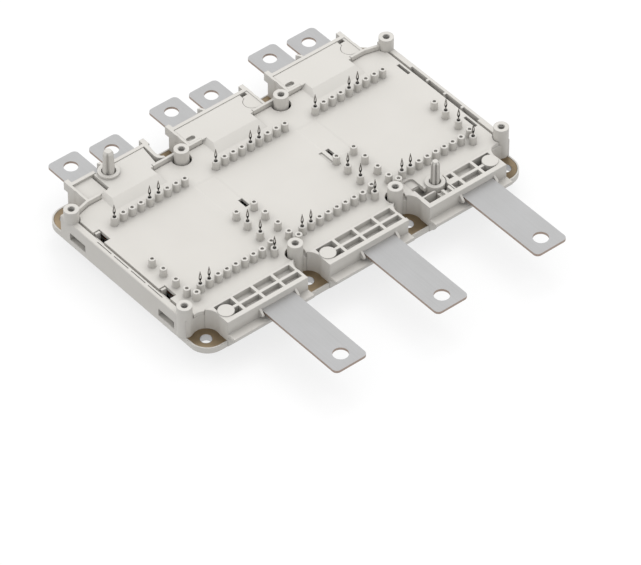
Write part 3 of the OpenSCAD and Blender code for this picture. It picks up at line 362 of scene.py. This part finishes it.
def group_in(tree, group, place, **values):
    """The node group placed in a material, with its inputs set."""
    made = node_of(tree, "ShaderNodeGroup", place)
    made.node_tree = group
    for label, value in values.items():
        made.inputs[label.replace("_", " ")].default_value = value
    return made


def between(tree, mask, first, second, place):
    """A colour that goes from first to second with the mask; each is a colour or a socket."""
    made = node_of(tree, "ShaderNodeMix", place, data_type="RGBA")
    tree.links.new(mask, made.inputs["Factor"])
    for slot, value in ((made.inputs[6], first), (made.inputs[7], second)):
        if isinstance(value, bpy.types.NodeSocket):
            tree.links.new(value, slot)
        else:
            slot.default_value = (*value, 1)
    return made.outputs[2]


def range_of(tree, value, low, high, place, from_low=0.3, from_high=0.7):
    """A value that runs from low to high as the input runs over its own range."""
    made = node_of(tree, "ShaderNodeMapRange", place)
    tree.links.new(value, made.inputs["Value"])
    made.inputs["From Min"].default_value = from_low
    made.inputs["From Max"].default_value = from_high
    made.inputs["To Min"].default_value = low
    made.inputs["To Max"].default_value = high
    return made.outputs["Result"]


def bump(tree, shader, height, strength, distance, place, round_edge=0.0):
    """A Bump node on the shader's Normal, over a Bevel node where edges are rounded."""
    made = node_of(tree, "ShaderNodeBump", place)
    made.inputs["Strength"].default_value = strength
    made.inputs["Distance"].default_value = distance
    tree.links.new(height, made.inputs["Height"])
    if round_edge:
        soft = node_of(tree, "ShaderNodeBevel", (place[0] - 200, place[1] - 200), samples=6)
        soft.inputs["Radius"].default_value = round_edge
        tree.links.new(soft.outputs["Normal"], made.inputs["Normal"])
    tree.links.new(made.outputs["Normal"], shader.inputs["Normal"])


def wear(material, *names):
    """Puts the material on every slot of the named nodes or pieces."""
    for name in names:
        piece = bpy.data.objects[name]
        piece.data.materials.clear()
        piece.data.materials.append(material)


print("finish helpers ready")

# %% [markdown]
# The frame and the lid are moulded in a pale, warm grey plastic that is filled with glass fibre. It has a
# dull sheen with a very fine grain, and its tone drifts a little over the part. Both carry painted shade:
# their colour is darker in pockets, holes and inner corners.

# %% Plastic of the frame and the lid
# Painted shade: how far the occlusion looks, how strong it is, and how dark the shaded colour is.
PAINTED_SHADE_REACH = 0.0035
PAINTED_SHADE_STRENGTH = 0.75
PAINTED_SHADE_TONE = 0.45


def moulded(name, color, darker, edge):
    """Moulded plastic: soft tone clouds, painted shade in closed-in places, fine grain in the bump, rounded
    edges.
    """
    made, shader = finish_of(name, color, 0.5)
    tree = made.node_tree
    tone = group_in(tree, grain, (-900, 0), Grain_Size=0.00035, Cloud_Size=0.018)
    painted_shade_node = group_in(tree, painted_shade_group, (-900, 400), Reach=PAINTED_SHADE_REACH, Strength=PAINTED_SHADE_STRENGTH)
    clouds = range_of(tree, tone.outputs["Clouds"], 0, 1, (-650, 150))
    open_tone = between(tree, clouds, color, darker, (-400, 200))
    # painted shade: closed-in places take this darker copy of the colour
    shade = tuple(PAINTED_SHADE_TONE * value for value in color)
    final = between(tree, painted_shade_node.outputs["Mask"], open_tone, shade, (-150, 300))
    tree.links.new(final, shader.inputs["Base Color"])
    tree.links.new(range_of(tree, tone.outputs["Clouds"], 0.46, 0.56, (-400, 0)), shader.inputs["Roughness"])
    bump(tree, shader, tone.outputs["Grain"], 0.25, 0.00003, (-300, -250), edge)
    return made


frame_plastic = moulded("frame_plastic", (0.585, 0.567, 0.534), (0.57, 0.551, 0.517), 0.00035)
lid_plastic = moulded("lid_plastic", (0.59, 0.572, 0.539), (0.576, 0.558, 0.525), 0.0003)
wear(frame_plastic, "frame")
wear(lid_plastic, "lid")
print("plastic on: frame, lid")

# %% [markdown]
# The terminals are copper sheet with a dull grey plating. They are stamped after plating, so their rims
# and the walls of their holes show copper. On top the plating is even, with hardly visible rolling lines.

# %% Plated sheet of the terminals
plated, shader = finish_of("plated_copper", (0.57, 0.57, 0.57), 0.5, 1.0)
tree = plated.node_tree
side = group_in(tree, facing, (-900, 200), Sharpness=6.0)
rolled = group_in(tree, lines, (-900, -100), Across=0.00025, Along=0.03)
tone = group_in(tree, grain, (-900, -300), Grain_Size=0.0003, Cloud_Size=0.012)
clouds = range_of(tree, tone.outputs["Clouds"], 0, 1, (-650, 0))
plating = between(tree, clouds, (0.575, 0.575, 0.578), (0.555, 0.555, 0.555), (-400, 0))
cut_edge = between(tree, side.outputs["Sideways"], plating, (0.36, 0.29, 0.25), (-150, 100))
tree.links.new(cut_edge, shader.inputs["Base Color"])
tree.links.new(range_of(tree, rolled.outputs["Lines"], 0.44, 0.56, (-400, -150)), shader.inputs["Roughness"])
bump(tree, shader, rolled.outputs["Lines"], 0.15, 0.00001, (-300, -350))
wear(plated, *[f"{kind}_terminal_{p}" for kind in ("phase", "plus", "minus") for p in PHASES])
print("plated sheet on the terminals")

# %% [markdown]
# The baseplate is copper under satin nickel. Its underside is neutral grey with a faint lengthwise grain.
# The top, which is seen only in the round recesses of the frame, is brown from soldering, and its colour runs
# down to a dark brown of painted shade from the recess walls.

# %% Nickel of the baseplate
nickel, shader = finish_of("nickel_plate", (0.46, 0.46, 0.455), 0.38, 1.0)
tree = nickel.node_tree
side = group_in(tree, facing, (-900, 200), Sharpness=4.0)
brushed = group_in(tree, lines, (-900, -100), Across=0.00015, Along=0.012)
tone = group_in(tree, grain, (-900, -300), Grain_Size=0.0004, Cloud_Size=0.012)
clouds = range_of(tree, tone.outputs["Clouds"], 0, 1, (-650, 0))
satin = between(tree, clouds, (0.45, 0.45, 0.452), (0.41, 0.41, 0.412), (-400, 0))
# the top: a tarnished brown from soldering, with a dark brown end that is painted shade
tarnish_and_shade = between(tree, clouds, (0.44, 0.34, 0.225), (0.19, 0.145, 0.09), (-400, 300))
both_sides = between(tree, side.outputs["Up"], satin, tarnish_and_shade, (-150, 100))
tree.links.new(both_sides, shader.inputs["Base Color"])
tree.links.new(range_of(tree, brushed.outputs["Lines"], 0.30, 0.44, (-400, -150)), shader.inputs["Roughness"])
bump(tree, shader, brushed.outputs["Lines"], 0.12, 0.00001, (-300, -350), 0.0003)
wear(nickel, "baseplate")
print("nickel on: baseplate")

# %% [markdown]
# The ribbons are bright rolled aluminium and mirror the white around them, so all their drawing comes from
# what they hide from each other. The screws are zinc-plated steel, turned. The pins are tinned, and their
# colour is painted darker, a painted reflection of the dark sleeves around them.

# %% Metals of the small pieces
def metal(name, color, darker, rough, smooth, across, along):
    """A metal whose tone and roughness follow fine drawn lines."""
    made, shader = finish_of(name, color, rough, 1.0)
    tree = made.node_tree
    drawn = group_in(tree, lines, (-900, -100), Across=across, Along=along)
    tone = group_in(tree, grain, (-900, -300), Grain_Size=0.0003, Cloud_Size=0.004)
    clouds = range_of(tree, tone.outputs["Clouds"], 0, 1, (-650, 0))
    tree.links.new(between(tree, clouds, color, darker, (-400, 0)), shader.inputs["Base Color"])
    sheen = range_of(tree, drawn.outputs["Lines"], smooth, rough, (-400, -150))
    tree.links.new(sheen, shader.inputs["Roughness"])
    bump(tree, shader, drawn.outputs["Lines"], 0.1, 0.000005, (-300, -350))
    return made


aluminium = metal("ribbon_aluminium", (0.90, 0.905, 0.91), (0.82, 0.825, 0.83), 0.22, 0.12, 0.0001, 0.004)
screw_steel = metal("screw_steel", (0.68, 0.67, 0.66), (0.58, 0.57, 0.56), 0.32, 0.22, 0.0001, 0.001)
# painted reflection: the pins' colour is darker than tinned copper
pin_metal = metal("tinned_copper", (0.30, 0.285, 0.27), (0.17, 0.16, 0.15), 0.28, 0.16, 0.0001, 0.001)
tree = pin_metal.node_tree
shader = tree.nodes["Principled BSDF"]
tone = shader.inputs["Base Color"].links[0].from_socket
# painted shade and reflection: near-black bands at the collar in the sleeve's mouth, and at the foot of the
# eye
collar = group_in(tree, band, (-700, 500), Low=0.0140, High=0.01555, Softness=0.0002)
eye_foot = group_in(tree, band, (-700, 700), Low=0.01635, High=0.01765, Softness=0.0004)
dark = arithmetic(tree, "MAXIMUM", collar.outputs["Mask"], eye_foot.outputs["Mask"], (-450, 600))
tree.links.new(between(tree, dark, tone, (0.025, 0.024, 0.023), (-200, 400)), shader.inputs["Base Color"])
wire = metal("wire_aluminium", (0.84, 0.85, 0.87), (0.74, 0.75, 0.77), 0.28, 0.18, 0.00005, 0.003)
copper = metal("bare_copper", (0.80, 0.42, 0.27), (0.66, 0.32, 0.20), 0.42, 0.30, 0.0002, 0.004)
wear(aluminium, *[f"cooling_ribbons_{p}" for p in PHASES])
wear(screw_steel, "frame_screws")
wear(pin_metal, *[f"{kind}_{p}" for kind in ("signal_pins", "pin_sockets") for p in PHASES])
wear(wire, *[f"bond_wires_{p}" for p in PHASES])
wear(copper, *[f"{kind}_{p}" for kind in ("backing_copper", "circuit_copper") for p in PHASES])
print("metals on: ribbons, screws, pins, sockets, wires, copper layers")

# %% [markdown]
# Inside lie ceramic plates, chips and a sensor. They are hidden in the closed module, but a part from the
# library may be opened, so they are finished too: matt white ceramic, and dark chips with a thin sheen.

# %% Ceramic, chips, sensor and insulating sheet
def dull(name, color, darker, rough, cloud):
    """A plain solid material with a mottled tone and a fine grain."""
    made, shader = finish_of(name, color, rough)
    tree = made.node_tree
    tone = group_in(tree, grain, (-900, 0), Grain_Size=0.0002, Cloud_Size=cloud)
    clouds = range_of(tree, tone.outputs["Clouds"], 0, 1, (-650, 150))
    sheen = range_of(tree, tone.outputs["Grain"], rough - 0.05, rough + 0.05, (-400, 0))
    tree.links.new(between(tree, clouds, color, darker, (-400, 200)), shader.inputs["Base Color"])
    tree.links.new(sheen, shader.inputs["Roughness"])
    bump(tree, shader, tone.outputs["Grain"], 0.2, 0.00001, (-300, -250))
    return made


ceramic = dull("ceramic", (0.88, 0.88, 0.84), (0.84, 0.84, 0.79), 0.6, 0.01)
silicon = dull("silicon", (0.16, 0.17, 0.21), (0.11, 0.12, 0.15), 0.25, 0.003)
sensor = dull("thermistor", (0.10, 0.09, 0.085), (0.07, 0.065, 0.06), 0.5, 0.001)
film = dull("insulator_film", (0.78, 0.72, 0.58), (0.72, 0.66, 0.52), 0.45, 0.01)
for p in PHASES:
    wear(ceramic, f"ceramic_{p}")
    wear(silicon, f"igbt_chips_{p}", f"diode_chips_{p}")
    wear(sensor, f"thermistor_{p}")
    wear(film, f"terminal_insulator_{p}")
print("finishes in all:", len(bpy.data.materials))

# %% [markdown]
# Round things are built as grids of points. One direction of the grid runs round the axis and the other
# along a profile, and numpy computes all points at once. Faces join each point with its neighbours, and the
# last column joins the first again.

# %% Surfaces from grids
def grid_faces(rows, columns, close_rows):
    """Quads over a grid whose columns wrap round, and whose rows do too if close_rows is set."""
    last = rows if close_rows else rows - 1
    row, column = np.meshgrid(np.arange(last), np.arange(columns), indexing="ij")
    below = (row + 1) % rows
    beside = (column + 1) % columns
    return np.stack([row * columns + column, row * columns + beside,
                     below * columns + beside, below * columns + column], -1).reshape(-1, 4)


def lathe(radius, height, sides):
    """Rings x = r cos a, y = r sin a, z = h for each (r, h) of a closed profile."""
    angle = np.linspace(0, 2 * np.pi, sides, endpoint=False)
    r, a = np.meshgrid(radius, angle, indexing="ij")
    h, a = np.meshgrid(height, angle, indexing="ij")
    points = np.stack([r * np.cos(a), r * np.sin(a), h], -1).reshape(-1, 3)
    return points, grid_faces(len(radius), sides, True)


def tube(centre_x, half_x, half_y, height, sides=10):
    """Level rings x = c + wx cos a, y = wy sin a along a line; small end rings close it."""
    angle = np.linspace(0, 2 * np.pi, sides, endpoint=False)
    c, a = np.meshgrid(centre_x, angle, indexing="ij")
    wx, a = np.meshgrid(half_x, angle, indexing="ij")
    wy, a = np.meshgrid(half_y, angle, indexing="ij")
    h, a = np.meshgrid(height, angle, indexing="ij")
    points = np.stack([c + wx * np.cos(a), wy * np.sin(a), h], -1).reshape(-1, 3)
    return points, grid_faces(len(height), sides, False)


def joined(parts):
    """One list of points and one of faces from several."""
    starts = np.cumsum([0] + [len(points) for points, faces in parts[:-1]])
    return (np.concatenate([points for points, faces in parts]),
            np.concatenate([faces + start for (points, faces), start in zip(parts, starts)]))


def repeated(part, places):
    """The same part at each place (x, y, z), all in mm."""
    points, faces = part
    places = np.asarray(places, float)
    steps = np.arange(len(places))[:, None, None] * len(points)
    return (points[None] + places[:, None]).reshape(-1, 3), (faces[None] + steps).reshape(-1, 4)


def piece_of(name, part, material):
    """A smooth-shaded object from points in mm; it rides on the frame's body."""
    points, faces = part
    mesh = bpy.data.meshes.new(name)
    mesh.from_pydata((points * MM).tolist(), [], faces.tolist())
    mesh.polygons.foreach_set("use_smooth", np.ones(len(faces), bool))
    mesh.materials.append(material)
    made = bpy.data.objects.new(name, mesh)
    bpy.context.scene.collection.objects.link(made)
    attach(made, "root")
    return made


print("grid helpers ready")

# %% [markdown]
# A signal pin is pressed into the circuit board. Its upper part is therefore an elastic eye: two thin arms
# that bow apart and meet again below the tip. The plain solid only hints at the eye, so each phase gets
# finer pins in the same places. The arms follow x = w sin(pi t), with t from the eye's foot to its head.

# %% Press-fit pins
PITCH = 47.0
GRID_X = -0.7
GRID_STEP = 4.06
BACK_ROW_Y, FRONT_ROW_Y = 20.0, -27.0
COLUMN_X, COLUMN_YS = 19.4, (-5.9, -12.35, -19.55, -25.8)
CORNER_X, CORNER_Y = 17.9, -29.5
SLEEVE_TOP = 14.9
pin_places = np.array([
    [GRID_X - 4 * GRID_STEP, BACK_ROW_Y, 0], [GRID_X, BACK_ROW_Y, 0], [GRID_X + GRID_STEP, BACK_ROW_Y, 0],
    [GRID_X - 3.5 * GRID_STEP, FRONT_ROW_Y, 0], [GRID_X - 2.5 * GRID_STEP, FRONT_ROW_Y, 0],
    [GRID_X + COLUMN_X, COLUMN_YS[1], 0], [GRID_X + COLUMN_X, COLUMN_YS[2], 0],
    [GRID_X + CORNER_X, CORNER_Y, 0]
])
foot_z, collar_z, eye_low, eye_high, tip_z = 4.55, 15.35, 16.5, 20.2, 20.78

t_eye = np.linspace(0, 1, 21)
bow = 0.46 * np.sin(np.pi * t_eye ** 0.6)
arm_z = eye_low + (eye_high - eye_low) * t_eye
arm_x = 0.17 - 0.05 * t_eye
arm_y = 0.30 - 0.10 * t_eye
shaft_r = np.array([0.02, 0.40, 0.45, 0.45, 0.60, 0.66, 0.62, 0.30, 0.24, 0.24, 0.36, 0.34, 0.02])
shaft_z = np.array([
    foot_z, foot_z + 0.1, foot_z + 0.4,
    collar_z - 0.9, collar_z - 0.75, collar_z - 0.4, collar_z - 0.1,
    collar_z + 0.15, collar_z + 0.35, collar_z + 0.85,
    eye_low + 0.2, eye_low + 0.5, eye_low + 0.8
])
shaft = tube(np.zeros_like(shaft_r), shaft_r, shaft_r, shaft_z, 14)
arms = [tube(side * bow, arm_x, arm_y, arm_z, 8) for side in (-1, 1)]
tip_x = np.array([0.02, 0.14, 0.16, 0.14, 0.09, 0.01])
tip_y = np.array([0.02, 0.18, 0.20, 0.18, 0.12, 0.01])
tip_rings = np.array([eye_high - 0.5, eye_high - 0.4, eye_high - 0.1, eye_high + 0.1, tip_z - 0.1, tip_z])
tip = tube(np.zeros_like(tip_x), tip_x, tip_y, tip_rings, 10)
one_pin = joined([shaft, *arms, tip])
for number, p in enumerate(PHASES):
    here = repeated(one_pin, pin_places + [(number - 1) * PITCH, 0, 0])
    pins = piece_of(f"press_fit_pins_{p}", here, pin_metal)
    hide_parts(f"signal_pins_{p}")
print("pins per phase:", len(pin_places), "faces each:", len(one_pin[1]))

# %% [markdown]
# Self-tapping screws go into the eight board posts, and the bores show fine rings. A ring's wall follows
# r = r0 - d (1 + cos(2 pi z / p)) / 2. The same lathe makes the small fillets at the feet of the sleeves,
# which soften the line where a sleeve meets the lid. Sleeves without a pin look pale inside, as if a thin
# skin of plastic closed them a little below the rim, so each gets such a skin.

# %% Ringed bores, sleeve feet and skins
POST_TOP, BORE_R, BORE_L = 16.4, 1.4, 8.8
POST_YS = (-33.5, 31.9)
END_POST_OUT = 3.85
RING_STEP, RING_DEPTH = 0.95, 0.16
ring_z = np.linspace(POST_TOP - BORE_L, POST_TOP - 0.2, 90)
ring_r = BORE_R - 0.02 - RING_DEPTH * (1 + np.cos(2 * np.pi * ring_z / RING_STEP)) / 2
bore_r = np.concatenate([ring_r, [BORE_R - 0.004, BORE_R - 0.004]])
bore_z = np.concatenate([ring_z, [ring_z[-1], ring_z[0]]])
bore = lathe(bore_r, bore_z, 28)
post_x = [-1.5 * PITCH - END_POST_OUT, -0.5 * PITCH, 0.5 * PITCH, 1.5 * PITCH + END_POST_OUT]
post_places = [(x, y, 0) for x in post_x for y in POST_YS]
piece_of("ringed_bores", repeated(bore, post_places), frame_plastic)

LID_TOP, SLEEVE_R, FOOT_R = 11.3, 1.4, 0.15
curve = np.linspace(0, np.pi / 2, 6)
foot_r = np.concatenate([SLEEVE_R + FOOT_R - FOOT_R * np.sin(curve), [SLEEVE_R - 0.05, SLEEVE_R - 0.05]])
foot_h = np.concatenate([LID_TOP + FOOT_R - FOOT_R * np.cos(curve), [LID_TOP + FOOT_R, LID_TOP]])
fillet = lathe(foot_r, foot_h, 24)
row_x = GRID_X + GRID_STEP * np.arange(-4, 5)
front_x = GRID_X + GRID_STEP * (np.arange(8) - 3.5)
sleeve_xy = np.concatenate([
    np.stack([row_x, np.full(9, BACK_ROW_Y)], -1), np.stack([front_x, np.full(8, FRONT_ROW_Y)], -1),
    np.stack([np.full(4, GRID_X - COLUMN_X), COLUMN_YS], -1),
    np.stack([np.full(4, GRID_X + COLUMN_X), COLUMN_YS], -1),
    [[GRID_X - CORNER_X, CORNER_Y], [GRID_X + CORNER_X, CORNER_Y]]
])
phase_steps = np.array([-PITCH, 0, PITCH])[:, None, None] * [1, 0]
all_xy = (sleeve_xy[None] + phase_steps).reshape(-1, 2)
sleeve_places = np.column_stack([all_xy, np.zeros(len(all_xy))])
piece_of("sleeve_feet", repeated(fillet, sleeve_places), lid_plastic)

SKIN_R, SKIN_DEPTH, SKIN_T = 0.645, 0.75, 0.1
skin_low = SLEEVE_TOP - SKIN_DEPTH
skin_r = np.array([0.01, SKIN_R, SKIN_R, 0.01])
skin_z = np.array([skin_low, skin_low, skin_low + SKIN_T, skin_low + SKIN_T])
skin = tube(np.zeros_like(skin_r), skin_r, skin_r, skin_z, 16)
pin_xy = (pin_places[None, :, :2] + phase_steps).reshape(-1, 2)
apart = np.linalg.norm(all_xy[:, None] - pin_xy[None], axis=-1).min(axis=1)
piece_of("sleeve_skins", repeated(skin, sleeve_places[apart > 1]), lid_plastic)
print("bores:", len(post_places), "sleeves:", len(sleeve_places), "closed ones:", int((apart > 1).sum()))

# %% [markdown]
# Stamped sheet and turned screws have small rounds where the solid has sharp edges. A Weld modifier joins
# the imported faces, a Bevel modifier rounds the edges, and the solid itself stays as it is.

# %% Small rounds on metal
def soften(name, width, segments=2, angle=35):
    """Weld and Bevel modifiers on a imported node."""
    node = nodes[name]
    weld = node.modifiers.new("weld", "WELD")
    weld.merge_threshold = 0.000002
    round_off = node.modifiers.new("round", "BEVEL")
    round_off.width = width
    round_off.segments = segments
    round_off.limit_method = "ANGLE"
    round_off.angle_limit = math.radians(angle)
    round_off.harden_normals = True


for p in PHASES:
    for kind in ("phase", "plus", "minus"):
        soften(f"{kind}_terminal_{p}", 0.00012)
soften("frame_screws", 0.0001)
print("softened nodes:", sum(1 for node in nodes.values() if node.modifiers))
